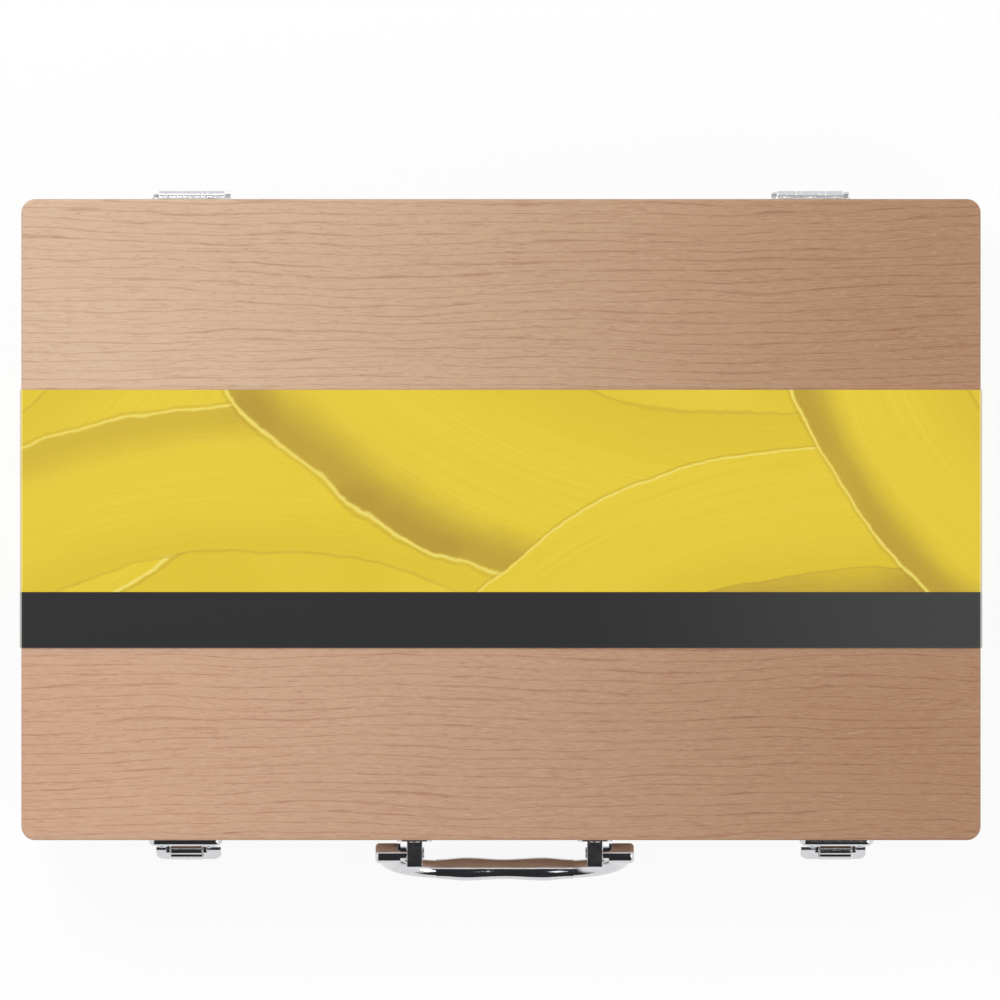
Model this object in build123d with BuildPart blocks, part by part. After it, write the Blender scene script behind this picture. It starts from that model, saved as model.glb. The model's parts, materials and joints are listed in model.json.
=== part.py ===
from build123d import *
import math
import os

os.makedirs("parts", exist_ok=True)

# Case, in millimetres. X runs right, Y to the hinges, Z up from the surface it lies on.
CASE_WIDTH = 380.0
CASE_DEPTH = 254.0
BASE_HEIGHT = 44.0
LID_HEIGHT = 24.0
WALL = 8.0
PANEL = 4.0
CORNER_RADIUS = 5.5
EDGE_ROUND = 1.0
PARTING_GAP = 0.3
BASE_FINGERS = 7
LID_FINGERS = 3
PILOT_CLEARANCE = 0.05
HOLE_CLEARANCE = 0.1
QUARTER_TURN = 90.0
MATCH = 0.01

# Card sleeve round the closed case
CARD = 0.4
CARD_CLEARANCE = 0.2
SLEEVE_WIDTH = 102.2
SLEEVE_Y = 0.3

# Hinges on the back
HINGE_INSET = 66.5
HINGE_AXIS_OUT = 2.4
LEAF_WIDTH = 30.8
LEAF_THICK = 1.0
LEAF_CORNER = 2.0
BASE_LEAF_HEIGHT = 16.0
LID_LEAF_HEIGHT = 14.0
BARREL_LENGTH = 26.0
BARREL_RADIUS = 1.9
KNUCKLE = 6.9
FINGER_CLEARANCE = 0.3
SWING_CLEARANCE = 0.25
PIN_RADIUS = 1.0
RUNNING_CLEARANCE = 0.05
LID_OPENS = 100.0
STOP_REACH = 1.4
STOP_START = 0.45
STOP_FOOT = 2.0
LEAF_HOLE_DROP = 9.5
LEAF_HOLE_SPREAD = 10.0

# Screws
SHANK_RADIUS = 1.2
HEAD_RADIUS = 2.3
HEAD_HEIGHT = 0.8
HEAD_EDGE = 0.25
SCREW_GRIP = 6.0
SCREW_TIP = 1.5

# Latches on the front
LEFT_LATCH_INSET = 64.5
RIGHT_LATCH_INSET = 56.5
LATCH_PLATE_WIDTH = 29.4
LATCH_PLATE_HEIGHT = 14.0
LATCH_PLATE_RAISE = 2.9
LATCH_PLATE_CORNER = 3.0
LATCH_PLATE_ROUND = 2.4
LATCH_NOTCH_RISE = 6.7
LATCH_PLATE_LIFT = 0.8
LATCH_AXIS_OUT = 4.6
LATCH_AXIS_LIFT = 2.0
LATCH_PIN_RADIUS = 0.8
LUG_WIDTH = 1.6
LUG_RADIUS = 2.0
STRAP_WIDTH = 12.6
STRAP_THICK = 1.2
STRAP_KNUCKLE = 2.3
STRAP_GAP = 0.3
STRAP_SHOULDER_DROP = 0.9
STRAP_BOW = 8.4
STRAP_BOW_LIFT = 1.6
STRAP_WAIST = 4.4
STRAP_WAIST_DROP = 5.4
STRAP_BEND = 3.6
TAB_WIDTH = 26.0
TAB_OUT = 9.2
TAB_DROP = 5.6
TAB_CORNER = 3.2
KEEPER_WIDTH = 24.0
KEEPER_HEIGHT = 11.0
KEEPER_THICK = 1.0
KEEPER_CORNER = 1.5
KEEPER_DROP = 7.6
RIDGE_WIDTH = 11.0
RIDGE_RADIUS = 2.6
RIDGE_CENTRE_OUT = 1.2
LATCH_SCREW_SPREAD = 9.3
LATCH_SCREW_LIFT = 8.6

# Carrying handle
HANDLE_X = 1.5
HANDLE_AXIS_OUT = 7.0
HANDLE_AXIS_DROP = 10.6
HANDLE_HANG = 16.6
HANDLE_REACH = 27.0
POST_X = 36.1
POST_WIDTH = 6.2
POST_OUT = 12.9
POST_ROUND = 2.2
POST_HEIGHT = 10.6
FOOT_WIDTH = 14.0
FOOT_HEIGHT = 20.0
FOOT_THICK = 1.8
FOOT_CORNER = 2.5
FOOT_SCREW = 7.7
NECK_RADIUS = 2.7
NECK_LENGTH = 2.6
NECK_GAP = 0.2
HANDLE_BARREL_LENGTH = 10.1
HANDLE_BARREL_RADIUS = 4.05
BARREL_END_ROUND = 1.6
ARM_RADIUS = 3.7
ARM_INSET = 0.9
ARM_BEND = 22.0
GRIP_RADIUS = 4.75
GRIP_WAIST = 4.1
GRIP_END_RADIUS = 4.0
GRIP_LAP = 2.5
GRIP_SWELL_X = 17.5
HANDLE_PIN_RADIUS = 1.6
PIN_HEAD_RADIUS = 2.4
PIN_HEAD = 0.6

# Inside of the base
DIVIDER = 4.0
DIVIDER_HEIGHT = 33.0
TUBE_ROWS = 5
BRUSH_BAY_WIDTH = 58.0
TUBE_RADIUS = 15.5
TUBE_LIFT = 3.0
CRIMP_WIDTH = 44.0
CRIMP_THICK = 1.6
CRIMP_LENGTH = 8.0
BARREL_STRAIGHT = 30.0
SHOULDER = 4.0
SHOULDER_RADIUS = 8.0
TUBE_NECK_RADIUS = 6.0
TUBE_NECK = 13.0
BAY_END_GAP = 1.5
CAP_END_GAP = 5.2
CAP_RADIUS = 12.0
CAP_TOP_RADIUS = 10.6
CAP_LENGTH = 20.0
CAP_FLUTES = 12
FLUTE_RADIUS = 1.0
CAP_GAP = 0.3
SEAT_GAP = 0.3
RAIL_THICK = 6.0
RAIL_BELOW_AXIS = 4.0
RAIL_BEFORE_SHOULDER = 23.0
CRIMP_RAIL_INSET = 1.0

# Brushes in the right bay
BRUSH_PITCH = 18.0
BRUSH_COUNT = 3
BRUSH_LIFT = 12.0
BRUSH_TAIL_GAP = 13.0
HANDLE_LENGTHS = (148.0, 142.0, 136.0)
BRUSH_HANDLE_RADIUS = 4.0
BRUSH_BELLY_AT = 0.78
BRUSH_WAIST_RADIUS = 2.9
BRUSH_WAIST_AT = 0.4
BRUSH_TAIL_RADIUS = 1.4
FERRULE_RADIUS = 3.2
FERRULE_LENGTH = 30.0
FERRULE_TIP_RADIUS = 2.8
FERRULE_BEAD = 0.35
FERRULE_BEAD_AT = 7.5
HAIR_LENGTH = 20.0
HAIR_BELLY = 3.3
HAIR_BELLY_AT = 7.0
HAIR_POINT = 1.8
HAIR_POINT_AT = 16.0
REST_THICK = 5.0
REST_TAIL_FROM = 34.0
REST_FERRULE_FROM = 12.0

# Palette and its turn buttons under the lid
PALETTE_END_GAP = 17.0
PALETTE_SIDE_GAP = 4.0
PALETTE_THICK = 4.0
PALETTE_CORNER = 18.0
THUMB_LENGTH = 46.0
THUMB_WIDTH = 28.0
THUMB_INSET = 52.0
THUMB_TURN = 45.0
BLOCK_LENGTH = 30.0
BLOCK_CLEARANCE = 2.0
BUTTON_THICK = 3.0
BUTTON_WIDTH = 10.0
BUTTON_REACH = 20.0
BUTTON_TAIL = 5.0
BUTTON_GAP = 0.3
BUTTON_FROM_WALL = 7.5
BUTTON_SCREW_GRIP = 3.4

# Levels and faces that follow from the sizes above
CASE_BOTTOM = CARD + CARD_CLEARANCE
BASE_RIM = CASE_BOTTOM + BASE_HEIGHT
LID_RIM = BASE_RIM + PARTING_GAP
LID_TOP = LID_RIM + LID_HEIGHT
FLOOR = CASE_BOTTOM + PANEL
CEILING = LID_TOP - PANEL
SIDE = CASE_WIDTH / 2
BACK = CASE_DEPTH / 2
INNER_X = SIDE - WALL
INNER_Y = BACK - WALL
HINGE_Y = BACK + HINGE_AXIS_OUT
HINGE_Z = (BASE_RIM + LID_RIM) / 2
LATCH_Z = LID_RIM + LATCH_AXIS_LIFT
KEEPER_Z = BASE_RIM - KEEPER_DROP
HANDLE_Z = BASE_RIM - HANDLE_AXIS_DROP
BAY_LENGTH = (2 * INNER_X - BRUSH_BAY_WIDTH - 2 * DIVIDER) / 2
TUBE_LENGTH = BAY_LENGTH - BAY_END_GAP - CAP_END_GAP
TAPER_LENGTH = TUBE_LENGTH - CRIMP_LENGTH - BARREL_STRAIGHT - SHOULDER - CAP_GAP - CAP_LENGTH
TUBE_Z = FLOOR + TUBE_LIFT + TUBE_RADIUS
BRUSH_Z = FLOOR + BRUSH_LIFT
BRUSH_TAIL_Y = BRUSH_TAIL_GAP - INNER_Y
PALETTE_WIDTH = 2 * (INNER_X - PALETTE_END_GAP)
PALETTE_DEPTH = 2 * (INNER_Y - PALETTE_SIDE_GAP)
CORNERS = [(sx * (SIDE - WALL / 2), sy * (BACK - WALL / 2)) for sx in (-1, 1) for sy in (-1, 1)]
HINGE_XS = (HINGE_INSET - SIDE, SIDE - HINGE_INSET)
LATCH_XS = (LEFT_LATCH_INSET - SIDE, SIDE - RIGHT_LATCH_INSET)

# Working planes: the outer faces of the front and back walls, each with Z as its second axis
FRONT_FACE = Plane(origin=(0, -BACK, 0), x_dir=(1, 0, 0), z_dir=(0, -1, 0))
BACK_FACE = Plane(origin=(0, BACK, 0), x_dir=(-1, 0, 0), z_dir=(0, 1, 0))


def across(x):
    """The plane square to X at x, with Y and Z as its own axes."""
    return Plane(origin=(x, 0, 0), x_dir=(0, 1, 0), z_dir=(1, 0, 0))


def front_section(x):
    """The plane square to X at x, measured outward from the front wall and up."""
    return Plane(origin=(x, -BACK, 0), x_dir=(0, -1, 0), z_dir=(-1, 0, 0))


def save(piece, name):
    """Labels a finished piece and writes it."""
    piece.part.label = name
    export_step(piece.part, f"parts/{name}.step")


def cut_pilots(face, places):
    """Cuts a pilot hole into the wall behind a face at each place."""
    with BuildSketch(face) as holes:
        with Locations(places):
            Circle(SHANK_RADIUS + PILOT_CLEARANCE)
    extrude(holes.sketch, amount=-(SCREW_GRIP + PILOT_CLEARANCE), mode=Mode.SUBTRACT)


def cut_clear_holes(face, places, depth):
    """Cuts screw clearance holes outward through a fitting on a face."""
    with BuildSketch(face) as holes:
        with Locations(places):
            Circle(SHANK_RADIUS + HOLE_CLEARANCE)
    extrude(holes.sketch, amount=depth, mode=Mode.SUBTRACT)


def add_screws(face, places, seat, grip):
    """Adds a round-head screw at each place, its head on a fitting seat thick."""
    dome = HEAD_HEIGHT - HEAD_EDGE
    crown = (HEAD_RADIUS**2 + dome**2) / (2 * dome)
    spread = math.degrees(math.asin(HEAD_RADIUS / crown))
    for place in places:
        foot = face.from_local_coords((place[0], place[1], seat))
        section = Plane(origin=foot, x_dir=face.x_dir, z_dir=-face.y_dir)
        bottom = -(seat + grip)
        with BuildSketch(section) as half_screw:
            with BuildLine():
                Polyline(
                    (0, HEAD_HEIGHT),
                    (0, bottom),
                    (SHANK_RADIUS, bottom + SCREW_TIP),
                    (SHANK_RADIUS, 0),
                    (HEAD_RADIUS, 0),
                    (HEAD_RADIUS, HEAD_EDGE),
                )
                CenterArc((0, HEAD_HEIGHT - crown), crown, QUARTER_TURN - spread, spread)
            make_face()
        revolve(half_screw.sketch, axis=Axis(foot, face.z_dir))


# Screw places, shared by fittings, screws and the walls behind them
def hinge_places(z):
    """Three screw places per hinge leaf, on the back face, whose own axis runs against X."""
    spread = (-LEAF_HOLE_SPREAD, 0, LEAF_HOLE_SPREAD)
    return [(dx - x, z) for x in HINGE_XS for dx in spread]


BASE_LEAF_PLACES = hinge_places(HINGE_Z - LEAF_HOLE_DROP)
LID_LEAF_PLACES = hinge_places(HINGE_Z + LEAF_HOLE_DROP)
LATCH_PLATE_Z = LID_RIM + LATCH_PLATE_LIFT
LATCH_SCREW_Z = LATCH_PLATE_Z + LATCH_SCREW_LIFT
LATCH_PLATE_PLACES = [(x + s * LATCH_SCREW_SPREAD, LATCH_SCREW_Z) for x in LATCH_XS for s in (-1, 1)]
KEEPER_PLACES = [(x + s * LATCH_SCREW_SPREAD, KEEPER_Z) for x in LATCH_XS for s in (-1, 1)]
POST_XS = (HANDLE_X - POST_X, HANDLE_X + POST_X)
BRACKET_PLACES = [(x, HANDLE_Z + s * FOOT_SCREW) for x in POST_XS for s in (-1, 1)]


# Case panels
def case_panel(name, bottom, outer_side):
    """A full-size panel glued over the wall frame, its outer edge eased."""
    with BuildPart() as panel:
        with BuildSketch(Plane.XY.offset(bottom)):
            RectangleRounded(CASE_WIDTH, CASE_DEPTH, CORNER_RADIUS)
        extrude(amount=PANEL)
        outer = panel.faces().sort_by(Axis.Z)[outer_side]
        fillet(outer.edges(), radius=EDGE_ROUND)
    save(panel, name)


case_panel("base_panel", CASE_BOTTOM, 0)
case_panel("lid_panel", CEILING, -1)


# Case walls, finger-jointed at the corners
def case_wall(name, at, size, bottom, top, fingers, first_notch, face=None, pilots=()):
    """One wall board with its corner notches and the pilot holes of what it carries."""
    pitch = (top - bottom) / fingers
    with BuildPart() as wall:
        with BuildSketch(Plane.XY.offset(bottom)):
            with Locations(at):
                Rectangle(*size)
        extrude(amount=top - bottom)
        uprights = [
            edge
            for edge in wall.edges().filter_by(Axis.Z)
            if abs(edge.center().X) > INNER_X + WALL / 2 and abs(edge.center().Y) > INNER_Y + WALL / 2
        ]
        fillet(uprights, radius=CORNER_RADIUS)
        for level in range(first_notch, fingers, 2):
            with BuildSketch(Plane.XY.offset(bottom + level * pitch)):
                with Locations(CORNERS):
                    Rectangle(WALL, WALL)
            extrude(amount=pitch, mode=Mode.SUBTRACT)
        if pilots:
            cut_pilots(face, pilots)
    save(wall, name)


def wall_frame(prefix, bottom, top, fingers, front_pilots, back_pilots):
    """The four walls of the base or of the lid."""
    end_size = (CASE_WIDTH, WALL)
    side_size = (WALL, CASE_DEPTH)
    rows = (
        ("front", (0, -(BACK - WALL / 2)), end_size, 1, FRONT_FACE, front_pilots),
        ("back", (0, BACK - WALL / 2), end_size, 1, BACK_FACE, back_pilots),
        ("left", (-(SIDE - WALL / 2), 0), side_size, 0, None, ()),
        ("right", (SIDE - WALL / 2, 0), side_size, 0, None, ()),
    )
    for side, at, size, first_notch, face, pilots in rows:
        case_wall(f"{prefix}_{side}_wall", at, size, bottom, top, fingers, first_notch, face, pilots)


wall_frame("base", FLOOR, BASE_RIM, BASE_FINGERS, KEEPER_PLACES + BRACKET_PLACES, BASE_LEAF_PLACES)
wall_frame("lid", LID_RIM, CEILING, LID_FINGERS, LATCH_PLATE_PLACES, LID_LEAF_PLACES)

# Hinges: rolled knuckles on one axis in the parting plane, outside the back walls
WINDOW = (BARREL_LENGTH - 3 * KNUCKLE) / 2
FINGER = WINDOW - 2 * FINGER_CLEARANCE
FACE_IN = HINGE_AXIS_OUT - LEAF_THICK
CUT_BACK = math.sqrt((BARREL_RADIUS + SWING_CLEARANCE) ** 2 - FACE_IN**2)
KNUCKLE_XS = [-BARREL_LENGTH / 2 + KNUCKLE / 2 + i * (KNUCKLE + WINDOW) for i in range(3)]
FINGER_XS = [-(KNUCKLE + WINDOW) / 2, (KNUCKLE + WINDOW) / 2]
EAR_INNER = BARREL_LENGTH / 2 + FINGER_CLEARANCE
EAR_WIDTH = LEAF_WIDTH / 2 - EAR_INNER
EAR_XS = (-(EAR_INNER + EAR_WIDTH / 2), EAR_INNER + EAR_WIDTH / 2)


def leaf_plate(x, sign, height, places):
    """A hinge leaf against the back wall, from its cut-back edge away from the axis."""
    middle = HINGE_Z + sign * (CUT_BACK + height) / 2
    with BuildSketch(BACK_FACE) as outline:
        with Locations((-x, middle)):
            Rectangle(LEAF_WIDTH, height - CUT_BACK)
        by_height = outline.vertices().sort_by(Axis.Y)
        fillet(by_height[-2:] if sign > 0 else by_height[:2], radius=LEAF_CORNER)
    extrude(outline.sketch, amount=LEAF_THICK)
    cut_clear_holes(BACK_FACE, [place for place in places if abs(place[0] + x) < LEAF_WIDTH / 2], LEAF_THICK)


def add_knuckle(x, width, sign):
    """One rolled knuckle with the strip that joins it to its leaf."""
    strip_height = CUT_BACK + LEAF_CORNER
    with BuildSketch(across(x)) as roll:
        with Locations((HINGE_Y, HINGE_Z)):
            Circle(BARREL_RADIUS)
        with Locations((BACK + LEAF_THICK / 2, HINGE_Z + sign * strip_height / 2)):
            Rectangle(LEAF_THICK, strip_height)
        with Locations((HINGE_Y, HINGE_Z)):
            Circle(PIN_RADIUS + RUNNING_CLEARANCE, mode=Mode.SUBTRACT)
    extrude(roll.sketch, amount=width / 2, both=True)


def add_stop_strip(x, sign):
    """The edge strip of a leaf beside the barrel, right up to the parting plane."""
    strip_height = CUT_BACK + LEAF_CORNER - PARTING_GAP / 2
    with BuildSketch(across(x)) as strip:
        with Locations((BACK + LEAF_THICK / 2, HINGE_Z + sign * (strip_height + PARTING_GAP) / 2)):
            Rectangle(LEAF_THICK, strip_height)
    extrude(strip.sketch, amount=EAR_WIDTH / 2, both=True)


def add_stop_ear(x):
    """The ear that the lid's leaf meets when the lid is fully open."""
    lean = math.radians(180 - LID_OPENS)
    reach = FACE_IN - RUNNING_CLEARANCE

    def top(out):
        return (reach - out * math.cos(lean)) / math.sin(lean)

    with BuildSketch(Plane(origin=(x, HINGE_Y, HINGE_Z), x_dir=(0, 1, 0), z_dir=(1, 0, 0))) as ear:
        with BuildLine():
            Polyline(
                (-HINGE_AXIS_OUT, -STOP_FOOT),
                (STOP_REACH, -STOP_FOOT),
                (STOP_REACH, top(STOP_REACH)),
                (STOP_START, top(STOP_START)),
                (STOP_START, -PARTING_GAP),
                (-HINGE_AXIS_OUT, -PARTING_GAP),
                close=True,
            )
        make_face()
    extrude(ear.sketch, amount=EAR_WIDTH / 2, both=True)


def hinge(side, x):
    """Both leaves and the pin of one hinge."""
    with BuildPart() as base_leaf:
        leaf_plate(x, -1, BASE_LEAF_HEIGHT, BASE_LEAF_PLACES)
        for dx in KNUCKLE_XS:
            add_knuckle(x + dx, KNUCKLE, -1)
        for dx in EAR_XS:
            add_stop_strip(x + dx, -1)
            add_stop_ear(x + dx)
    save(base_leaf, f"hinge_{side}_base_leaf")

    with BuildPart() as lid_leaf:
        leaf_plate(x, 1, LID_LEAF_HEIGHT, LID_LEAF_PLACES)
        for dx in FINGER_XS:
            add_knuckle(x + dx, FINGER, 1)
        for dx in EAR_XS:
            add_stop_strip(x + dx, 1)
    save(lid_leaf, f"hinge_{side}_lid_leaf")

    with BuildPart() as pin:
        with BuildSketch(across(x)):
            with Locations((HINGE_Y, HINGE_Z)):
                Circle(PIN_RADIUS)
        extrude(amount=BARREL_LENGTH / 2, both=True)
    save(pin, f"hinge_{side}_pin")


for hinge_side, hinge_x in zip(("left", "right"), HINGE_XS):
    hinge(hinge_side, hinge_x)

with BuildPart() as hinge_base_screws:
    add_screws(BACK_FACE, BASE_LEAF_PLACES, LEAF_THICK, SCREW_GRIP)
save(hinge_base_screws, "hinge_base_screws")

with BuildPart() as hinge_lid_screws:
    add_screws(BACK_FACE, LID_LEAF_PLACES, LEAF_THICK, SCREW_GRIP)
save(hinge_lid_screws, "hinge_lid_screws")

# Latches: a stamped plate with two lugs on the lid, a sprung hasp, a ridged keeper on the base
LUG_XS = (-(STRAP_WIDTH / 2 + STRAP_GAP + LUG_WIDTH / 2), STRAP_WIDTH / 2 + STRAP_GAP + LUG_WIDTH / 2)
NOTCH_WIDTH = STRAP_WIDTH + 2 * STRAP_GAP
NOTCH_TOP = LATCH_Z + LATCH_NOTCH_RISE
PIN_HALF = STRAP_WIDTH / 2 + STRAP_GAP + LUG_WIDTH


def latch_plate(side, x):
    """The raised plate on the lid with its lugs."""
    with BuildPart() as plate:
        with BuildSketch(FRONT_FACE):
            with Locations((x, LATCH_PLATE_Z + LATCH_PLATE_HEIGHT / 2)):
                RectangleRounded(LATCH_PLATE_WIDTH, LATCH_PLATE_HEIGHT, LATCH_PLATE_CORNER)
        extrude(amount=LATCH_PLATE_RAISE)
        pressed_face = plate.faces().sort_by(Axis.Y)[0]
        fillet(pressed_face.edges(), radius=LATCH_PLATE_ROUND)
        for dx in LUG_XS:
            with BuildSketch(front_section(x + dx)):
                with Locations((LATCH_AXIS_OUT, LATCH_Z)):
                    Circle(LUG_RADIUS)
                with Locations((LATCH_AXIS_OUT / 2, LATCH_Z)):
                    Rectangle(LATCH_AXIS_OUT, 2 * LUG_RADIUS)
            extrude(amount=LUG_WIDTH / 2, both=True)
        with BuildSketch(front_section(x)):
            with Locations((LATCH_AXIS_OUT, LATCH_Z)):
                Circle(LATCH_PIN_RADIUS + RUNNING_CLEARANCE)
        extrude(amount=PIN_HALF, both=True, mode=Mode.SUBTRACT)
        with BuildSketch(FRONT_FACE):
            with Locations((x, (LID_RIM + NOTCH_TOP) / 2)):
                Rectangle(NOTCH_WIDTH, NOTCH_TOP - LID_RIM)
        extrude(amount=LATCH_AXIS_OUT + LUG_RADIUS, mode=Mode.SUBTRACT)
        own = [place for place in LATCH_PLATE_PLACES if abs(place[0] - x) < LATCH_PLATE_WIDTH]
        cut_clear_holes(FRONT_FACE, own, LATCH_PLATE_RAISE)
    save(plate, f"latch_{side}_plate")


def latch_hasp(side, x):
    """The hasp: knuckle, bowed strap over the keeper, flared finger tab."""
    waist_z = KEEPER_Z - STRAP_WAIST_DROP
    with BuildPart() as hasp:
        with BuildSketch(front_section(x)) as strap_profile:
            with BuildLine():
                FilletPolyline(
                    (LATCH_AXIS_OUT, LATCH_Z + STRAP_KNUCKLE - STRAP_THICK / 2),
                    (STRAP_BOW, LATCH_Z - STRAP_SHOULDER_DROP),
                    (STRAP_BOW, KEEPER_Z + STRAP_BOW_LIFT),
                    (STRAP_WAIST, waist_z),
                    (TAB_OUT, waist_z - TAB_DROP),
                    radius=STRAP_BEND,
                )
            trace(line_width=STRAP_THICK)
        extrude(amount=STRAP_WIDTH / 2, both=True)
        with BuildSketch(front_section(x)):
            add(strap_profile.sketch_local)
            with Locations((0, LATCH_Z + waist_z)):
                Rectangle(4 * TAB_OUT, 2 * LATCH_Z, mode=Mode.SUBTRACT)
        extrude(amount=TAB_WIDTH / 2, both=True)
        with BuildSketch(front_section(x)):
            with Locations((LATCH_AXIS_OUT, LATCH_Z)):
                Circle(STRAP_KNUCKLE)
        extrude(amount=STRAP_WIDTH / 2, both=True)
        with BuildSketch(front_section(x)):
            with Locations((LATCH_AXIS_OUT, LATCH_Z)):
                Circle(LATCH_PIN_RADIUS + RUNNING_CLEARANCE)
        extrude(amount=STRAP_WIDTH, both=True, mode=Mode.SUBTRACT)
        ends = [edge for edge in hasp.edges() if edge.center().Z < waist_z - TAB_DROP / 2]
        fillet([edge for edge in ends if abs(edge.length - STRAP_THICK) < MATCH], radius=TAB_CORNER)
    save(hasp, f"latch_{side}_hasp")


def latch_keeper(side, x):
    """The keeper plate on the base with the ridge that the strap springs over."""
    with BuildPart() as keeper:
        with BuildSketch(FRONT_FACE):
            with Locations((x, KEEPER_Z)):
                RectangleRounded(KEEPER_WIDTH, KEEPER_HEIGHT, KEEPER_CORNER)
        extrude(amount=KEEPER_THICK)
        with BuildSketch(front_section(x)):
            with Locations((RIDGE_CENTRE_OUT, KEEPER_Z)):
                Circle(RIDGE_RADIUS)
            with Locations((-RIDGE_RADIUS, KEEPER_Z)):
                Rectangle(2 * RIDGE_RADIUS, 2 * RIDGE_RADIUS, mode=Mode.SUBTRACT)
        extrude(amount=RIDGE_WIDTH / 2, both=True)
        own = [place for place in KEEPER_PLACES if abs(place[0] - x) < KEEPER_WIDTH]
        cut_clear_holes(FRONT_FACE, own, KEEPER_THICK)
    save(keeper, f"latch_{side}_keeper")


def latch_pin(side, x):
    """The pin through both lugs and the hasp."""
    with BuildPart() as pin:
        with BuildSketch(front_section(x)):
            with Locations((LATCH_AXIS_OUT, LATCH_Z)):
                Circle(LATCH_PIN_RADIUS)
        extrude(amount=PIN_HALF, both=True)
    save(pin, f"latch_{side}_pin")


for latch_side, latch_x in zip(("left", "right"), LATCH_XS):
    latch_plate(latch_side, latch_x)
    latch_hasp(latch_side, latch_x)
    latch_keeper(latch_side, latch_x)
    latch_pin(latch_side, latch_x)

with BuildPart() as latch_plate_screws:
    add_screws(FRONT_FACE, LATCH_PLATE_PLACES, LATCH_PLATE_RAISE, SCREW_GRIP)
save(latch_plate_screws, "latch_plate_screws")

with BuildPart() as latch_keeper_screws:
    add_screws(FRONT_FACE, KEEPER_PLACES, KEEPER_THICK, SCREW_GRIP)
save(latch_keeper_screws, "latch_keeper_screws")

# Handle: a cast bail that swings on two pins between post brackets
HANDLE_Y = -BACK - HANDLE_AXIS_OUT
HANG = math.radians(HANDLE_HANG)
HANDLE_DOWN = Vector(0, -math.sin(HANG), -math.cos(HANG))
BAIL_PLANE = Plane(
    origin=(HANDLE_X, HANDLE_Y, HANDLE_Z),
    x_dir=(1, 0, 0),
    z_dir=Vector(1, 0, 0).cross(HANDLE_DOWN),
)
POST_HALF = POST_WIDTH / 2
NECK_START = POST_X + POST_HALF + NECK_GAP
BARREL_START = POST_X + POST_HALF + NECK_LENGTH
BARREL_END = BARREL_START + HANDLE_BARREL_LENGTH
ARM_X = BARREL_END - ARM_INSET - ARM_RADIUS
GRIP_HALF = ARM_X - ARM_BEND + GRIP_LAP


def handle_bracket(side, x):
    """A foot plate with the post that carries one end of the handle."""
    with BuildPart() as bracket:
        with BuildSketch(FRONT_FACE):
            with Locations((x, HANDLE_Z)):
                RectangleRounded(FOOT_WIDTH, FOOT_HEIGHT, FOOT_CORNER)
        extrude(amount=FOOT_THICK)
        with BuildSketch(front_section(x)) as post:
            with Locations((POST_OUT / 2, HANDLE_Z)):
                Rectangle(POST_OUT, POST_HEIGHT)
            fillet(post.vertices().sort_by(Axis.X)[-2:], radius=POST_ROUND)
            with Locations((HANDLE_AXIS_OUT, HANDLE_Z)):
                Circle(HANDLE_PIN_RADIUS + RUNNING_CLEARANCE, mode=Mode.SUBTRACT)
        extrude(amount=POST_HALF, both=True)
        own = [place for place in BRACKET_PLACES if abs(place[0] - x) < FOOT_WIDTH]
        cut_clear_holes(FRONT_FACE, own, FOOT_THICK)
    save(bracket, f"handle_{side}_bracket")


for post_side, post_x in zip(("left", "right"), POST_XS):
    handle_bracket(post_side, post_x)


def add_bail_end(sign):
    """The swept arm, neck and barrel at one end of the handle."""
    top = BAIL_PLANE.from_local_coords((sign * ARM_X, 0, 0))
    with BuildSketch(Plane(origin=top, z_dir=HANDLE_DOWN)) as rod:
        Circle(ARM_RADIUS)
    with BuildLine(BAIL_PLANE) as arm:
        Line((sign * ARM_X, 0), (sign * ARM_X, HANDLE_REACH - ARM_BEND))
        JernArc(
            start=(sign * ARM_X, HANDLE_REACH - ARM_BEND),
            tangent=(0, 1),
            radius=ARM_BEND,
            arc_size=sign * QUARTER_TURN,
        )
    sweep(rod.sketch, path=arm.line)
    for radius, start, end in (
        (NECK_RADIUS, NECK_START, BARREL_START),
        (HANDLE_BARREL_RADIUS, BARREL_START, BARREL_END),
    ):
        with BuildSketch(across(HANDLE_X + sign * start)) as disc:
            with Locations((HANDLE_Y, HANDLE_Z)):
                Circle(radius)
        extrude(disc.sketch, amount=sign * (end - start))


def add_grip():
    """The grip with a swell under each pair of fingers, turned about its own length."""
    with BuildSketch(BAIL_PLANE) as half_grip:
        with BuildLine():
            Spline(
                (-GRIP_HALF, HANDLE_REACH - GRIP_END_RADIUS),
                (-GRIP_SWELL_X, HANDLE_REACH - GRIP_RADIUS),
                (0, HANDLE_REACH - GRIP_WAIST),
                (GRIP_SWELL_X, HANDLE_REACH - GRIP_RADIUS),
                (GRIP_HALF, HANDLE_REACH - GRIP_END_RADIUS),
                tangents=[(1, 0), (1, 0)],
            )
            Polyline(
                (-GRIP_HALF, HANDLE_REACH - GRIP_END_RADIUS),
                (-GRIP_HALF, HANDLE_REACH),
                (GRIP_HALF, HANDLE_REACH),
                (GRIP_HALF, HANDLE_REACH - GRIP_END_RADIUS),
            )
        make_face()
    revolve(half_grip.sketch, axis=Axis(BAIL_PLANE.from_local_coords((0, HANDLE_REACH, 0)), (1, 0, 0)))


with BuildPart() as handle_bail:
    add_grip()
    for end_sign in (-1, 1):
        add_bail_end(end_sign)
    with BuildSketch(across(HANDLE_X)):
        with Locations((HANDLE_Y, HANDLE_Z)):
            Circle(HANDLE_PIN_RADIUS)
    extrude(amount=BARREL_END - BARREL_END_ROUND, both=True, mode=Mode.SUBTRACT)
    rims = handle_bail.edges().group_by(Axis.X)
    fillet(rims[0] + rims[-1], radius=BARREL_END_ROUND)
save(handle_bail, "handle_bail")

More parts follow.
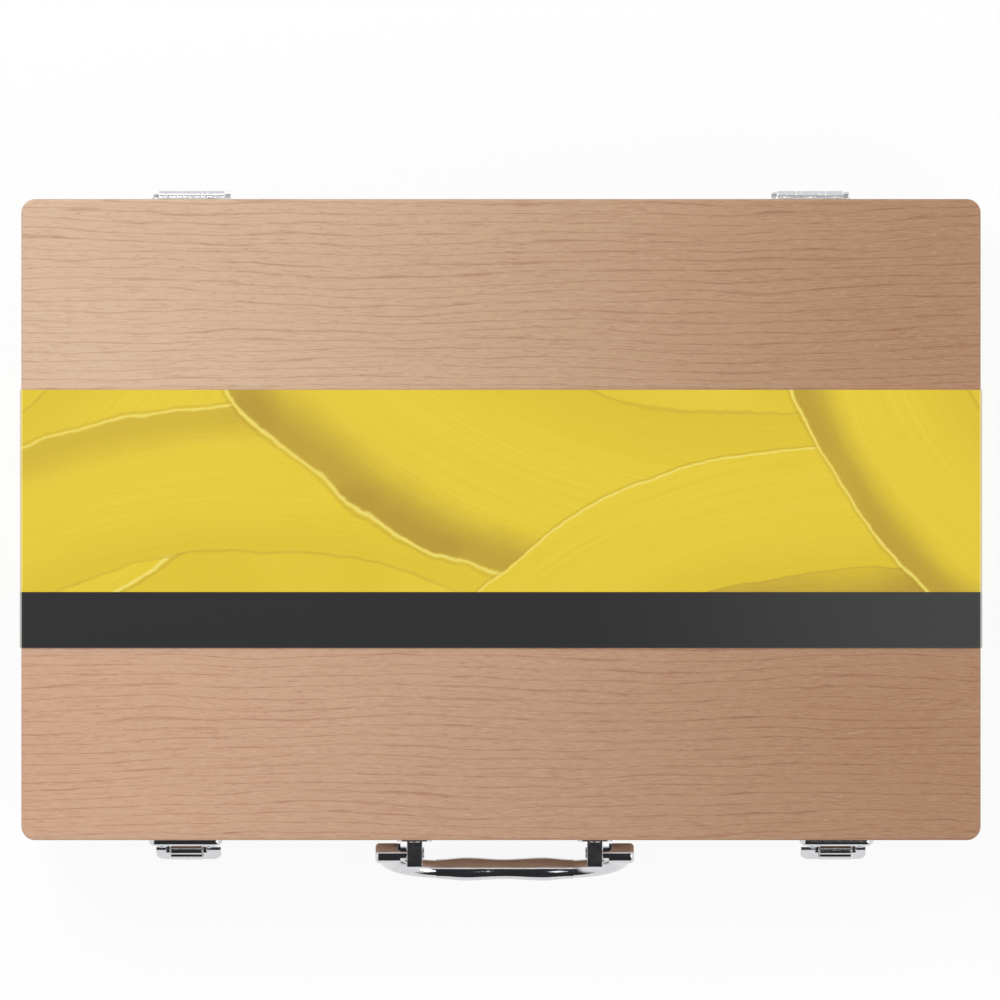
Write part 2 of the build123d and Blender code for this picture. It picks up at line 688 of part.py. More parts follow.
with BuildPart() as handle_pins:
    for pin_sign in (-1, 1):
        inner_face = POST_X - POST_HALF - RUNNING_CLEARANCE
        for pin_radius, pin_start, pin_end in (
            (PIN_HEAD_RADIUS, inner_face - PIN_HEAD, inner_face),
            (HANDLE_PIN_RADIUS, inner_face, BARREL_END - BARREL_END_ROUND),
        ):
            with BuildSketch(across(HANDLE_X + pin_sign * pin_start)):
                with Locations((HANDLE_Y, HANDLE_Z)):
                    Circle(pin_radius)
            extrude(amount=pin_sign * (pin_end - pin_start))
save(handle_pins, "handle_pins")

with BuildPart() as handle_bracket_screws:
    add_screws(FRONT_FACE, BRACKET_PLACES, FOOT_THICK, SCREW_GRIP)
save(handle_bracket_screws, "handle_bracket_screws")

# Card sleeve: one loop, slit in the parting plane so that each half stays with its half of the case
SLEEVE_OUT = SIDE + CARD_CLEARANCE + CARD
SLEEVE_TOP = LID_TOP + CARD_CLEARANCE + CARD
SLEEVE_BACK_PLANE = Plane.XZ.offset(-(SLEEVE_Y + SLEEVE_WIDTH / 2))


def sleeve_half(name, bottom, top):
    """The part of the sleeve between two levels."""
    with BuildPart() as half:
        with BuildSketch(SLEEVE_BACK_PLANE):
            with Locations((0, SLEEVE_TOP / 2)):
                RectangleRounded(2 * SLEEVE_OUT, SLEEVE_TOP, EDGE_ROUND + CARD_CLEARANCE + CARD)
                RectangleRounded(
                    2 * (SLEEVE_OUT - CARD),
                    SLEEVE_TOP - 2 * CARD,
                    EDGE_ROUND + CARD_CLEARANCE,
                    mode=Mode.SUBTRACT,
                )
            with Locations((0, (bottom + top) / 2)):
                Rectangle(2 * SLEEVE_OUT, top - bottom, mode=Mode.INTERSECT)
        extrude(amount=SLEEVE_WIDTH)
    save(half, name)


sleeve_half("sleeve_bottom", 0, BASE_RIM)
sleeve_half("sleeve_top", LID_RIM, SLEEVE_TOP)


# Dividers in the base
def divider(name, x):
    """A thin board across the depth of the base."""
    with BuildPart() as board:
        with BuildSketch(Plane.XY.offset(FLOOR)):
            with Locations((x, 0)):
                Rectangle(DIVIDER, 2 * INNER_Y)
        extrude(amount=DIVIDER_HEIGHT)
    save(board, name)


LEFT_BAY = -INNER_X
MIDDLE_BAY = LEFT_BAY + BAY_LENGTH + DIVIDER
BRUSH_BAY = MIDDLE_BAY + BAY_LENGTH + DIVIDER
divider("centre_divider", MIDDLE_BAY - DIVIDER / 2)
divider("brush_divider", BRUSH_BAY - DIVIDER / 2)

# Paint tubes in two columns on notched rails
ROW_PITCH = 2 * INNER_Y / TUBE_ROWS
ROW_YS = [-INNER_Y + ROW_PITCH * (row + 0.5) for row in range(TUBE_ROWS)]
TUBE_STARTS = (LEFT_BAY + BAY_END_GAP, MIDDLE_BAY + BAY_END_GAP)
BARREL_FROM = CRIMP_LENGTH + TAPER_LENGTH
SHOULDER_FROM = BARREL_FROM + BARREL_STRAIGHT
NECK_FROM = SHOULDER_FROM + SHOULDER
CAP_FROM = NECK_FROM + CAP_GAP
TUBE_COLOURS = (
    ("white", "yellow", "orange", "red", "crimson"),
    ("violet", "blue", "green", "brown", "black"),
)


def paint_tube(name, start, y):
    """A filled tube: folded crimp, flattening barrel, shoulder and neck."""
    with BuildPart() as tube:
        with BuildSketch(across(start)):
            with Locations((y, TUBE_Z)):
                Rectangle(CRIMP_WIDTH, CRIMP_THICK)
        extrude(amount=CRIMP_LENGTH)
        with BuildSketch(across(start + CRIMP_LENGTH)):
            with Locations((y, TUBE_Z)):
                Ellipse(CRIMP_WIDTH / 2, CRIMP_THICK / 2)
        with BuildSketch(across(start + BARREL_FROM)):
            with Locations((y, TUBE_Z)):
                Circle(TUBE_RADIUS)
        loft(ruled=True)
        with BuildSketch(across(start + BARREL_FROM)):
            with Locations((y, TUBE_Z)):
                Circle(TUBE_RADIUS)
        extrude(amount=BARREL_STRAIGHT)
        with BuildSketch(across(start + SHOULDER_FROM)):
            with Locations((y, TUBE_Z)):
                Circle(TUBE_RADIUS)
        with BuildSketch(across(start + NECK_FROM)):
            with Locations((y, TUBE_Z)):
                Circle(SHOULDER_RADIUS)
        loft(ruled=True)
        with BuildSketch(across(start + NECK_FROM)):
            with Locations((y, TUBE_Z)):
                Circle(TUBE_NECK_RADIUS)
        extrude(amount=TUBE_NECK)
    save(tube, name)


for tube_start, column in zip(TUBE_STARTS, TUBE_COLOURS):
    for row_y, colour in zip(ROW_YS, column):
        paint_tube(f"paint_tube_{colour}", tube_start, row_y)

with BuildPart() as tube_caps:
    for tube_start in TUBE_STARTS:
        for row_y in ROW_YS:
            cap_start = tube_start + CAP_FROM
            with BuildSketch(across(cap_start)):
                with Locations((row_y, TUBE_Z)):
                    Circle(CAP_RADIUS)
                    with PolarLocations(CAP_RADIUS, CAP_FLUTES):
                        Circle(FLUTE_RADIUS, mode=Mode.SUBTRACT)
            with BuildSketch(across(cap_start + CAP_LENGTH)):
                with Locations((row_y, TUBE_Z)):
                    Circle(CAP_TOP_RADIUS)
                    with PolarLocations(CAP_TOP_RADIUS, CAP_FLUTES):
                        Circle(FLUTE_RADIUS, mode=Mode.SUBTRACT)
            loft(ruled=True)
            with BuildSketch(across(cap_start)):
                with Locations((row_y, TUBE_Z)):
                    Circle(TUBE_NECK_RADIUS + CAP_GAP)
            extrude(amount=TUBE_NECK + CAP_GAP, mode=Mode.SUBTRACT)
save(tube_caps, "tube_caps")

with BuildPart() as tube_rails:
    for tube_start in TUBE_STARTS:
        crimp_top = TUBE_Z - CRIMP_THICK / 2 - SEAT_GAP
        with BuildSketch(across(tube_start + CRIMP_RAIL_INSET)):
            with Locations((0, (FLOOR + crimp_top) / 2)):
                Rectangle(2 * INNER_Y, crimp_top - FLOOR)
        extrude(amount=RAIL_THICK)
        notched_top = TUBE_Z - RAIL_BELOW_AXIS
        with BuildSketch(across(tube_start + SHOULDER_FROM - RAIL_BEFORE_SHOULDER)):
            with Locations((0, (FLOOR + notched_top) / 2)):
                Rectangle(2 * INNER_Y, notched_top - FLOOR)
            with Locations([(y, TUBE_Z) for y in ROW_YS]):
                Circle(TUBE_RADIUS + SEAT_GAP, mode=Mode.SUBTRACT)
        extrude(amount=RAIL_THICK)
save(tube_rails, "tube_rails")

# Brushes on notched rests
BRUSH_MIDDLE = (BRUSH_BAY + INNER_X) / 2
BRUSH_XS = [BRUSH_MIDDLE + (i - (BRUSH_COUNT - 1) / 2) * BRUSH_PITCH for i in range(BRUSH_COUNT)]


def brush_section(x, y):
    """The plane of a brush's half profile: along the brush and out from its axis."""
    return Plane(origin=(x, y, BRUSH_Z), x_dir=(0, 1, 0), z_dir=(1, 0, 0))


with BuildPart() as brush_handles:
    for brush_x, handle_length in zip(BRUSH_XS, HANDLE_LENGTHS):
        with BuildSketch(brush_section(brush_x, BRUSH_TAIL_Y)):
            with BuildLine():
                Spline(
                    (0, BRUSH_TAIL_RADIUS),
                    (handle_length * BRUSH_WAIST_AT, BRUSH_WAIST_RADIUS),
                    (handle_length * BRUSH_BELLY_AT, BRUSH_HANDLE_RADIUS),
                    (handle_length, FERRULE_RADIUS),
                )
                Polyline(
                    (0, BRUSH_TAIL_RADIUS),
                    (0, 0),
                    (handle_length, 0),
                    (handle_length, FERRULE_RADIUS),
                )
            make_face()
        revolve(axis=Axis((brush_x, 0, BRUSH_Z), (0, 1, 0)))
save(brush_handles, "brush_handles")

with BuildPart() as brush_ferrules:
    for brush_x, handle_length in zip(BRUSH_XS, HANDLE_LENGTHS):
        with BuildSketch(brush_section(brush_x, BRUSH_TAIL_Y + handle_length)):
            with BuildLine():
                Polyline(
                    (0, 0),
                    (0, FERRULE_RADIUS),
                    (FERRULE_BEAD_AT - FERRULE_BEAD, FERRULE_RADIUS),
                    (FERRULE_BEAD_AT, FERRULE_RADIUS + FERRULE_BEAD),
                    (FERRULE_BEAD_AT + FERRULE_BEAD, FERRULE_RADIUS),
                    (FERRULE_LENGTH, FERRULE_TIP_RADIUS),
                    (FERRULE_LENGTH, 0),
                    close=True,
                )
            make_face()
        revolve(axis=Axis((brush_x, 0, BRUSH_Z), (0, 1, 0)))
save(brush_ferrules, "brush_ferrules")

with BuildPart() as brush_hairs:
    for brush_x, handle_length in zip(BRUSH_XS, HANDLE_LENGTHS):
        with BuildSketch(brush_section(brush_x, BRUSH_TAIL_Y + handle_length + FERRULE_LENGTH)):
            with BuildLine():
                Spline(
                    (0, FERRULE_TIP_RADIUS),
                    (HAIR_BELLY_AT, HAIR_BELLY),
                    (HAIR_POINT_AT, HAIR_POINT),
                    (HAIR_LENGTH, 0),
                )
                Polyline((0, FERRULE_TIP_RADIUS), (0, 0), (HAIR_LENGTH, 0))
            make_face()
        revolve(axis=Axis((brush_x, 0, BRUSH_Z), (0, 1, 0)))
save(brush_hairs, "brush_hairs")


def add_brush_rest(y, radius):
    """A low board across the brush bay with a notch for each brush."""
    with BuildSketch(Plane.XZ.offset(-y)) as board:
        with Locations((BRUSH_MIDDLE, (FLOOR + BRUSH_Z) / 2)):
            Rectangle(INNER_X - BRUSH_BAY, BRUSH_Z - FLOOR)
        with Locations([(x, BRUSH_Z) for x in BRUSH_XS]):
            Circle(radius + SEAT_GAP, mode=Mode.SUBTRACT)
    extrude(board.sketch, amount=REST_THICK)


with BuildPart() as brush_rests:
    add_brush_rest(BRUSH_TAIL_Y + REST_TAIL_FROM, BRUSH_WAIST_RADIUS)
    add_brush_rest(BRUSH_TAIL_Y + max(HANDLE_LENGTHS) - REST_FERRULE_FROM, BRUSH_HANDLE_RADIUS)
save(brush_rests, "brush_rests")

# Palette under the lid, with its end blocks and turn buttons
BUTTON_X = INNER_X - BUTTON_FROM_WALL
BLOCK_START = PALETTE_WIDTH / 2 + BLOCK_CLEARANCE
BLOCK_BOTTOM = CEILING - PALETTE_THICK
BUTTON_TOP = BLOCK_BOTTOM - BUTTON_GAP
BUTTON_BOTTOM = BUTTON_TOP - BUTTON_THICK

with BuildPart() as palette:
    with BuildSketch(Plane.XY.offset(BLOCK_BOTTOM)):
        RectangleRounded(PALETTE_WIDTH, PALETTE_DEPTH, PALETTE_CORNER)
        with Locations((PALETTE_WIDTH / 2 - THUMB_INSET, THUMB_INSET - PALETTE_DEPTH / 2)):
            SlotOverall(THUMB_LENGTH, THUMB_WIDTH, rotation=THUMB_TURN, mode=Mode.SUBTRACT)
    extrude(amount=PALETTE_THICK)
save(palette, "palette")

with BuildPart() as palette_blocks:
    with BuildSketch(Plane.XY.offset(BLOCK_BOTTOM)):
        block_middle = (BLOCK_START + INNER_X) / 2
        with Locations((-block_middle, 0), (block_middle, 0)):
            Rectangle(INNER_X - BLOCK_START, BLOCK_LENGTH)
    extrude(amount=PALETTE_THICK)
    with BuildSketch(Plane.XY.offset(BLOCK_BOTTOM)):
        with Locations((-BUTTON_X, 0), (BUTTON_X, 0)):
            Circle(SHANK_RADIUS + PILOT_CLEARANCE)
    extrude(amount=BUTTON_SCREW_GRIP + BUTTON_GAP, mode=Mode.SUBTRACT)
save(palette_blocks, "palette_blocks")


def turn_button(side, sign):
    """A round-ended wooden button on its screw, its long end over the palette."""
    length = BUTTON_REACH + BUTTON_TAIL
    with BuildPart() as button:
        with BuildSketch(Plane.XY.offset(BUTTON_BOTTOM)):
            with Locations((sign * (BUTTON_X + BUTTON_TAIL - length / 2), 0)):
                SlotOverall(length, BUTTON_WIDTH)
            with Locations((sign * BUTTON_X, 0)):
                Circle(SHANK_RADIUS + RUNNING_CLEARANCE, mode=Mode.SUBTRACT)
        extrude(amount=BUTTON_THICK)
    save(button, f"turn_button_{side}")


turn_button("left", -1)
turn_button("right", 1)

UNDER_BUTTONS = Plane(origin=(0, 0, BUTTON_BOTTOM), x_dir=(1, 0, 0), z_dir=(0, 0, -1))
with BuildPart() as turn_button_screws:
    add_screws(
        UNDER_BUTTONS.offset(-BUTTON_THICK - BUTTON_GAP),
        [(-BUTTON_X, 0), (BUTTON_X, 0)],
        BUTTON_THICK + BUTTON_GAP,
        BUTTON_SCREW_GRIP,
    )
save(turn_button_screws, "turn_button_screws")
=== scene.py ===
import json
import math
import random

import bmesh
import bpy
from mathutils import Matrix, Vector

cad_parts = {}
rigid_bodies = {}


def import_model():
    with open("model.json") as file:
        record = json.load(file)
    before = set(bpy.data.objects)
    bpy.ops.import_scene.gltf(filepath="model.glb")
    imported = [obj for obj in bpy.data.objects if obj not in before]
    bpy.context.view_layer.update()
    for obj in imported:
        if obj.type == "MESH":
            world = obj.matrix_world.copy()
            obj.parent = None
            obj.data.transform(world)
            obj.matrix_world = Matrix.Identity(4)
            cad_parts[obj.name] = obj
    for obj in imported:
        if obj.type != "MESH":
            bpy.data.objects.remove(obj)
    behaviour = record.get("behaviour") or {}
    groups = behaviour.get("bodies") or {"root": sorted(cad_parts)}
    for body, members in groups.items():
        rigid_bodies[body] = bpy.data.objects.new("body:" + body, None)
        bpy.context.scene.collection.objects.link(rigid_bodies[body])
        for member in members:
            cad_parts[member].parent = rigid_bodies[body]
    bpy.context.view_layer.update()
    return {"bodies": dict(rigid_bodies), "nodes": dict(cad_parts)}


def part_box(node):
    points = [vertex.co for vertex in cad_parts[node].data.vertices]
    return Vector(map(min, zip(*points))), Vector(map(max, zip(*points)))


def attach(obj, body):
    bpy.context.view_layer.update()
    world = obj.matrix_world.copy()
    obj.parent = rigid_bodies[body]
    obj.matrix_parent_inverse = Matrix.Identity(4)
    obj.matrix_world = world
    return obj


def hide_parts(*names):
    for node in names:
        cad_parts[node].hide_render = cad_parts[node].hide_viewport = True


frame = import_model()
NODES = frame["nodes"]
BODIES = {
    name: body
    for body, carrier in frame["bodies"].items()
    for name in NODES
    if NODES[name].parent == carrier
}
random.seed(15)

MM = 0.001
PHOTO_PIXELS = 1000
PHOTO_MM_PER_PIXEL = 0.396
CASE_CENTRE_PIXEL = (501.0, 519.6)
STRIP_TOP_PIXEL = 592.0
CAMERA_HEIGHT = 2.6
SENSOR = 36.0


# Colours
def shade(red, green, blue):
    """A screen colour from 0 to 255 as the linear colour that a shader takes."""

    def linear(value):
        value /= 255
        return value / 12.92 if value <= 0.04045 else ((value + 0.055) / 1.055) ** 2.4

    return (linear(red), linear(green), linear(blue), 1.0)


WHITE = (1.0, 1.0, 1.0, 1.0)


# Shader sums
class Socket:
    """One value in a shader tree; a sum on it adds a Math node to the tree."""

    def __init__(self, tree, link):
        self.tree = tree
        self.link = link

    def __add__(self, other):
        return self.tree.math("ADD", self, other)

    __radd__ = __add__

    def __sub__(self, other):
        return self.tree.math("SUBTRACT", self, other)

    def __rsub__(self, other):
        return self.tree.math("SUBTRACT", other, self)

    def __mul__(self, other):
        return self.tree.math("MULTIPLY", self, other)

    __rmul__ = __mul__

    def __truediv__(self, other):
        return self.tree.math("DIVIDE", self, other)

    def __pow__(self, other):
        return self.tree.math("POWER", self, other)

    def __gt__(self, other):
        return self.tree.math("GREATER_THAN", self, other)

    def __lt__(self, other):
        return self.tree.math("LESS_THAN", self, other)

    def __abs__(self):
        return self.tree.math("ABSOLUTE", self)


class ShaderTree:
    """A shader tree being filled; every node in it comes from one method."""

    def __init__(self, graph):
        self.graph = graph
        graph.nodes.clear()

    def node(self, kind, settings=None, inputs=None, output=0):
        """Adds a node, its settings first and then its sockets, and gives one of its outputs."""
        node = self.graph.nodes.new(kind)
        for name, value in (settings or {}).items():
            setattr(node, name, value)
        for key, value in (inputs or {}).items():
            if isinstance(value, Socket):
                self.graph.links.new(value.link, node.inputs[key])
            else:
                node.inputs[key].default_value = value
        if len(node.outputs):
            return Socket(self, node.outputs[output])
        return None

    def math(self, operation, *values, clamp=False):
        """A sum on numbers."""
        settings = {"operation": operation, "use_clamp": clamp}
        return self.node("ShaderNodeMath", settings, dict(enumerate(values)))

    def split(self, place):
        """The three parts of a vector."""
        return [self.node("ShaderNodeSeparateXYZ", None, {0: place}, axis) for axis in "XYZ"]

    def join(self, x, y, z):
        """A vector of three parts."""
        return self.node("ShaderNodeCombineXYZ", None, {0: x, 1: y, 2: z})

    def noise(self, place, scale=1.0, detail=2.0, roughness=0.5):
        """Soft random variation from 0 to 1."""
        inputs = {"Vector": place, "Scale": scale, "Detail": detail, "Roughness": roughness}
        return self.node("ShaderNodeTexNoise", None, inputs, "Fac")

    def step(self, value, low, high):
        """A smooth step from 0 at low to 1 at high."""
        settings = {"interpolation_type": "SMOOTHSTEP"}
        return self.node("ShaderNodeMapRange", settings, {0: value, 1: low, 2: high, 3: 0.0, 4: 1.0})

    def mix(self, amount, first, second, way="MIX"):
        """One colour turned into another."""
        settings = {"data_type": "RGBA", "blend_type": way}
        return self.node("ShaderNodeMix", settings, {0: amount, 6: first, 7: second}, 2)

    def ray(self, kind):
        """1 for rays of one kind and 0 for the rest."""
        return self.node("ShaderNodeLightPath", output=f"Is {kind} Ray")


class Finish(ShaderTree):
    """A material being made."""

    def __init__(self, name):
        self.material = bpy.data.materials.new(name)
        self.material.use_nodes = True
        super().__init__(self.material.node_tree)

    def place(self):
        """The place on the piece, in metres."""
        return self.node("ShaderNodeTexCoord", output="Object")

    def facing(self):
        """The way the surface faces on the piece itself, in three parts."""
        return self.split(self.node("ShaderNodeTexCoord", output="Normal"))

    def bump(self, height, distance, strength=1.0, rounding=0.0):
        """Relief from a height; rounding softens the edges by that radius."""
        relief = {"Height": height, "Distance": distance, "Strength": strength}
        if rounding:
            relief["Normal"] = self.node("ShaderNodeBevel", {"samples": 6}, {"Radius": rounding})
        return self.node("ShaderNodeBump", None, relief)

    def surface(self, **sockets):
        """The surface itself; underscores in the names of its sockets stand for spaces."""
        inputs = {name.replace("_", " "): value for name, value in sockets.items()}
        return self.node("ShaderNodeBsdfPrincipled", None, inputs)

    def finished(self, surface):
        """The material with that surface."""
        self.node("ShaderNodeOutputMaterial", None, {"Surface": surface})
        return self.material


def dress(material, *names):
    """Gives CAD nodes a finish."""
    for name in names:
        materials = NODES[name].data.materials
        materials.clear()
        materials.append(material)


# Wood
# Painted shade across the wood: lighter at the left end and darker at the right end, as if light falls from
# the left
BEECH_LIT_LEFT = shade(213, 181, 151)
BEECH_SHADED_RIGHT = shade(171, 130, 97)
BEECH_GLEAM = shade(255, 242, 214)
GRAIN_SHADE = shade(204, 168, 144)
PORE_SHADE = shade(166, 132, 112)
# Painted shade: multiplied over the front of the case, most at its left end, where less light falls
PAINTED_FRONT_SHADE = shade(244, 229, 225)
END_PALE = shade(186, 140, 103)
END_DARK = shade(150, 104, 72)
END_PORE = shade(104, 68, 44)
HALF_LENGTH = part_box("lid_panel")[1].x
# How often each pattern of the grain comes in a metre, lengthwise and crosswise
WANDER = (7.0, 18.0)
RIPPLE = (34.0, 90.0)
BROAD = (3.0, 16.0)
STREAK = (80.0, 1500.0)
FLECK = (260.0, 2900.0)
LINE = (22.0, 420.0)
ROWS = 260.0
PORES = 900.0
WANDER_SIDEWAYS = 10.0 * MM
WANDER_UP = 5.0 * MM
RIPPLE_SIDEWAYS = 1.2 * MM
# Depths at which the painted shade over the front of the case begins and is full
SHADE_BEGINS_AT = 30.0 * MM
SHADE_FULL_AT = -60.0 * MM


def beech(name, along="X", shift=0.0, pale=BEECH_LIT_LEFT, deep=BEECH_SHADED_RIGHT, front_shading=1.0):
    """Satin beech with its grain along one axis: thin wavy rows, short streaks and flecks, end grain, and
    painted shade that darkens it towards the right end and towards the front.
    """
    wood = Finish(name)
    place = wood.place()
    x, y, z = wood.split(place)
    lengthwise, crosswise = (x, y) if along == "X" else (y, x)

    def soft(often, detail):
        """Variation that lies still on the wood."""
        spread = wood.join(lengthwise * often[0], crosswise * often[1], z * often[1] + shift)
        return wood.noise(spread, 1.0, detail)

    wander = soft(WANDER, 2.0) - 0.5
    ripple = soft(RIPPLE, 1.0) - 0.5
    broad = soft(BROAD, 2.0)
    drift = crosswise + wander * WANDER_SIDEWAYS + ripple * RIPPLE_SIDEWAYS
    lift = z + wander * WANDER_UP + shift

    def drawn(often, detail, roughness):
        """Variation drawn out along the wandering grain."""
        spread = wood.join(lengthwise * often[0], drift * often[1], lift * often[1])
        return wood.noise(spread, 1.0, detail, roughness)

    streak = drawn(STREAK, 2.0, 0.62)
    fleck = drawn(FLECK, 1.0, 0.5)
    line = drawn(LINE, 2.0, 0.55)
    # Painted shade: the tone darkens from the left end to the right end as if light falls from the left,
    # with a broad random tone mixed in
    sideways = wood.step(x, -HALF_LENGTH * 1.1, HALF_LENGTH * 1.1)
    towards = wood.math("ADD", sideways, (broad - 0.5) * 0.30, clamp=True)
    tone = wood.mix(towards, pale, deep)
    # Painted shade over the front of the case, strongest towards the left end
    front = wood.step(y, SHADE_BEGINS_AT, SHADE_FULL_AT) * (1.0 - sideways * 0.8) * front_shading
    tone = wood.mix(front, tone, PAINTED_FRONT_SHADE, "MULTIPLY")
    rows = wood.math("PINGPONG", (drift + lift) * ROWS + line * 0.9, 0.5)
    dashes = wood.step(rows, 0.11, 0.0) * wood.step(streak, 0.22, 0.48)
    tone = wood.mix(dashes * 0.45, tone, GRAIN_SHADE, "MULTIPLY")
    tone = wood.mix(wood.step(streak, 0.50, 0.70) * 0.28, tone, GRAIN_SHADE, "MULTIPLY")
    tone = wood.mix(wood.step(fleck, 0.58, 0.78) * 0.34, tone, PORE_SHADE, "MULTIPLY")
    tone = wood.mix(wood.step(fleck, 0.46, 0.28) * 0.07, tone, BEECH_GLEAM)
    end = wood.step(abs(wood.facing()["XY".index(along)]), 0.72, 0.95)
    rings = wood.noise(wood.join(x * 60.0, y * 60.0, z * 420.0))
    pores = wood.noise(place, PORES, 1.0)
    end_tone = wood.mix(wood.step(rings, 0.35, 0.7), END_PALE, END_DARK)
    end_tone = wood.mix(wood.step(pores, 0.6, 0.8) * 0.5, end_tone, END_PORE)
    surface = wood.surface(
        Base_Color=wood.mix(end, tone, end_tone),
        Roughness=streak * 0.12 + 0.46,
        Coat_Weight=0.12,
        Coat_Roughness=0.3,
        Normal=wood.bump(streak * 0.6 + fleck * 0.4, 0.1 * MM, 0.5),
    )
    return wood.finished(surface)


PLY_PALE = shade(222, 192, 150)
PLY_GRAIN = shade(184, 146, 102)
PLY_GLUE = shade(130, 92, 60)
PLY_LAYER = 1.3


def plain_ply(name):
    """Bare plywood: pale faces with faint grain, and glue lines where its edge shows."""
    ply = Finish(name)
    x, y, z = ply.split(ply.place())
    grain = ply.noise(ply.join(x * 700.0, y * 40.0, z * 700.0), 1.0, 3.0)
    layers = ply.math("PINGPONG", z / MM, PLY_LAYER)
    tone = ply.mix(ply.step(grain, 0.4, 0.75) * 0.5, PLY_PALE, PLY_GRAIN)
    glue = ply.step(ply.facing()[2], 0.9, 0.6) * ply.step(layers, 1.0, 1.25) * 0.25
    surface = ply.surface(
        Base_Color=ply.mix(glue, tone, PLY_GLUE),
        Roughness=grain * 0.2 + 0.6,
        Normal=ply.bump(grain, 0.1 * MM, 0.5),
    )
    return ply.finished(surface)


# Printed card
SLEEVE_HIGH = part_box("sleeve_top")[1]
STRIP_EDGE = (CASE_CENTRE_PIXEL[1] - STRIP_TOP_PIXEL) * PHOTO_MM_PER_PIXEL * MM
STRIP_SOFTNESS = 0.05 * MM
# Painted sheen on the black strip: it lightens from this place towards the right edge
STRIP_PAINTED_SHEEN_FROM = 20.0 * MM
PRINT_YELLOW = shade(226, 198, 34)
PRINT_DEEP = shade(211, 180, 22)
PRINT_LIGHT = shade(236, 211, 62)
PRINT_GLINT = shade(246, 231, 128)
PRINT_UMBER = shade(168, 133, 38)
PRINT_BLACK = shade(25, 23, 24)
PRINT_BLACK_SHEEN = shade(54, 53, 54)
CARD_INSIDE = shade(226, 222, 212)
PRINT_SKIN = 0.3 * MM
# Painted highlight along each side fold of the card: how far in from the side it lies and half its width
FOLD_IN = 0.9 * MM
FOLD_HALF = 0.6 * MM
WEAVE_PITCH = 1.15 * MM
WEAVE_TURN = math.radians(-17)
# Palette-knife strokes in the print, in mm: centre of the arc, its radius, half width, depth of its hollow
KNIFE_STROKES = (
    ((-250.0, 130.0), 146.0, 40.0, 0.0),
    ((-96.0, -245.0), 262.0, 30.0, 0.45),
    ((96.0, 235.0), 236.0, 42.0, 0.80),
    ((138.0, -190.0), 196.0, 24.0, 0.0),
    ((268.0, 96.0), 126.0, 33.0, 0.70),
)


def knife_stroke(card, tone, x, y, wobble, centre, radius, half, hollow):
    """One broad curved stroke of thick paint over what lies under it."""
    dx = x / MM - centre[0]
    dy = y / MM - centre[1]
    reach = (dx * dx + dy * dy) ** 0.5
    off = (reach - radius) / half + wobble
    body = card.step(abs(off), 1.015, 0.985)
    drag = card.noise(card.join(reach * 1.3, dx * 0.012, dy * 0.012), 1.0, 2.0, 0.55)
    paint = card.mix(card.step(drag, 0.35, 0.65) * 0.35, PRINT_YELLOW, PRINT_LIGHT)
    paint = card.mix(card.step(off, -0.2, -1.0) * 0.45, paint, PRINT_DEEP)
    if hollow:
        valley = card.step(off, 0.35, 0.86) * card.step(off, 1.0, 0.93) * hollow
        paint = card.mix(valley, paint, PRINT_UMBER)
    ridge = card.step(abs(off - 0.975), 0.022, 0.008)
    paint = card.mix(ridge * 0.55, paint, PRINT_GLINT)
    crease = card.step(abs(abs(off) - 1.012), 0.03, 0.0)
    tone = card.mix(body, tone, paint)
    return card.mix(crease * 0.32, tone, PRINT_UMBER)


